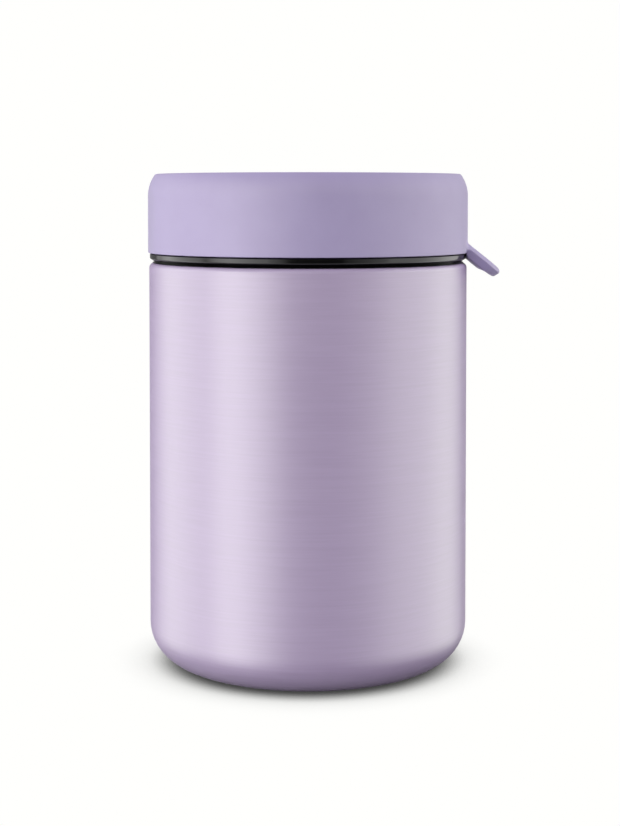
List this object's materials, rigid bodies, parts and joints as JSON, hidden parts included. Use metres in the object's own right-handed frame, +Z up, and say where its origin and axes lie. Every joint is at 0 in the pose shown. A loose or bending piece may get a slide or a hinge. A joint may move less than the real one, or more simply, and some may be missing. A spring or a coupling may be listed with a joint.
{
  "type": "insulated food container",
  "caption": "Double-walled steel vacuum food jar with a lavender lacquered body, a soft screw lid with a black ring, and a flexible lift tab at the lid's edge.",
  "frame": {"origin": "on the jar's axis, in the plane of the foot ring that it stands on", "axes": "+Z up along the jar's axis; +X towards the lift tab; -Y is the front that faces the viewer"},
  "size_m": [0.0996, 0.0906, 0.1382],
  "materials": {
    "lacquered_steel": "fine horizontal brushing under translucent lavender lacquer",
    "bare_steel": "satin stainless steel",
    "foil": "bright foil",
    "solder_glass": "dark solder glass",
    "foot_rubber": "matt silicone",
    "lid_silicone": "soft matt lavender silicone",
    "black_plastic": "glossy black",
    "grey_plastic": "satin dark grey",
    "seal_silicone": "translucent white silicone",
    "insulation_foam": "white foam"
  },
  "bodies": {
    "jar": {"outer_shell": "lacquered_steel", "base_plate": "bare_steel", "vacuum_seal": "solder_glass", "base_pad": "foot_rubber", "getter": "bare_steel", "inner_vessel": "bare_steel", "foil_wrap": "foil", "foil_disc": "foil", "neck_ring": "bare_steel"},
    "seal": {"seal_ring": "seal_silicone"},
    "lid": {"screw_cap": "black_plastic", "stopper": "grey_plastic", "lid_foam": "insulation_foam", "lid_cover": "lid_silicone"},
    "tab": {"lift_tab": "lid_silicone"}
  },
  "joints": [
    {"name": "lid_lift", "type": "slide", "parent": "jar", "child": "seal", "axis": [0, 0, 1], "range_m": [0, 0.015]},
    {"name": "lid_turn", "type": "hinge", "parent": "seal", "child": "lid", "pos_m": [0, 0, 0.1264], "axis": [0, 0, 1], "range_deg": [0, 450]},
    {"name": "tab_bend", "type": "hinge", "parent": "lid", "child": "tab", "pos_m": [0.04564, 0, 0.11723], "axis": [0, -1, 0], "range_deg": [-10, 60], "stiffness_Nm_per_rad": 0.02}
  ],
  "couplings": [
    {"joint": "lid_lift", "follows": "lid_turn", "m_per_rad": 0.0019099}
  ]
}
